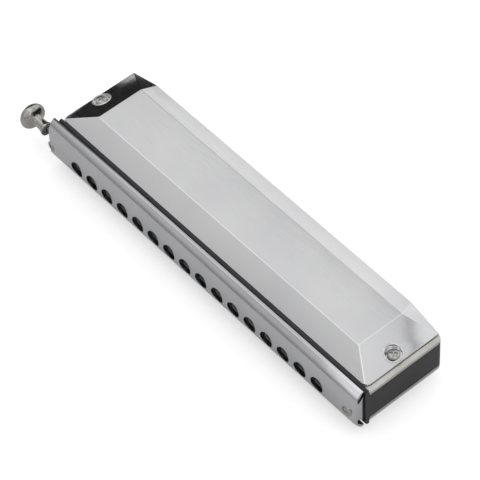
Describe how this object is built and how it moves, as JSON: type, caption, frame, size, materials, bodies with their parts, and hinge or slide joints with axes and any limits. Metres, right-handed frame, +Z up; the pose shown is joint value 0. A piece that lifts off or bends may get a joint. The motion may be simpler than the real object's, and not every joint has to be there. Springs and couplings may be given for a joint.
{
  "type": "chromatic harmonica",
  "caption": "Chromatic harmonica with bevelled chrome covers on a black comb, round mouth holes in a chrome mouthpiece and a slide worked by a mushroom knob at one end.",
  "frame": {"origin": "centre of the lower cover's flat underside, on which the instrument lies", "axes": "+X along the length away from the slide's knob, -Y towards the player's mouth, +Z up"},
  "size_m": [0.1967, 0.045, 0.0287],
  "materials": {
    "chrome": "polished plate",
    "nickel": "nickel plate",
    "plate_brass": "milled",
    "black_plastic": "moulded satin",
    "spring_steel": "plain"
  },
  "bodies": {
    "harmonica_body": {"comb": "black_plastic", "upper_reed_plate": "plate_brass", "lower_reed_plate": "plate_brass", "upper_cover": "chrome", "lower_cover": "chrome", "mouthpiece": "chrome", "backing_plate": "spring_steel", "slide_cage": "nickel", "slide_spring": "spring_steel", "upper_cover_screw_left": "nickel", "upper_cover_screw_right": "nickel", "upper_reed_screw_1": "nickel", "upper_reed_screw_2": "nickel", "upper_reed_screw_3": "nickel", "upper_reed_screw_4": "nickel", "upper_reed_screw_5": "nickel", "upper_reed_screw_6": "nickel", "upper_reed_screw_7": "nickel", "lower_cover_screw_left": "nickel", "lower_cover_screw_right": "nickel", "lower_reed_screw_1": "nickel", "lower_reed_screw_2": "nickel", "lower_reed_screw_3": "nickel", "lower_reed_screw_4": "nickel", "lower_reed_screw_5": "nickel", "lower_reed_screw_6": "nickel", "lower_reed_screw_7": "nickel", "mouthpiece_screw_left": "nickel", "mouthpiece_screw_right": "nickel"},
    "slide_body": {"slide": "nickel", "slide_knob": "nickel"}
  },
  "joints": [
    {"name": "slide_travel", "type": "slide", "parent": "harmonica_body", "child": "slide_body", "axis": [1, 0, 0], "range_m": [0, 0.00465], "stiffness_N_per_m": 300, "springref_m": -0.006, "deforming": ["slide_spring"]}
  ]
}
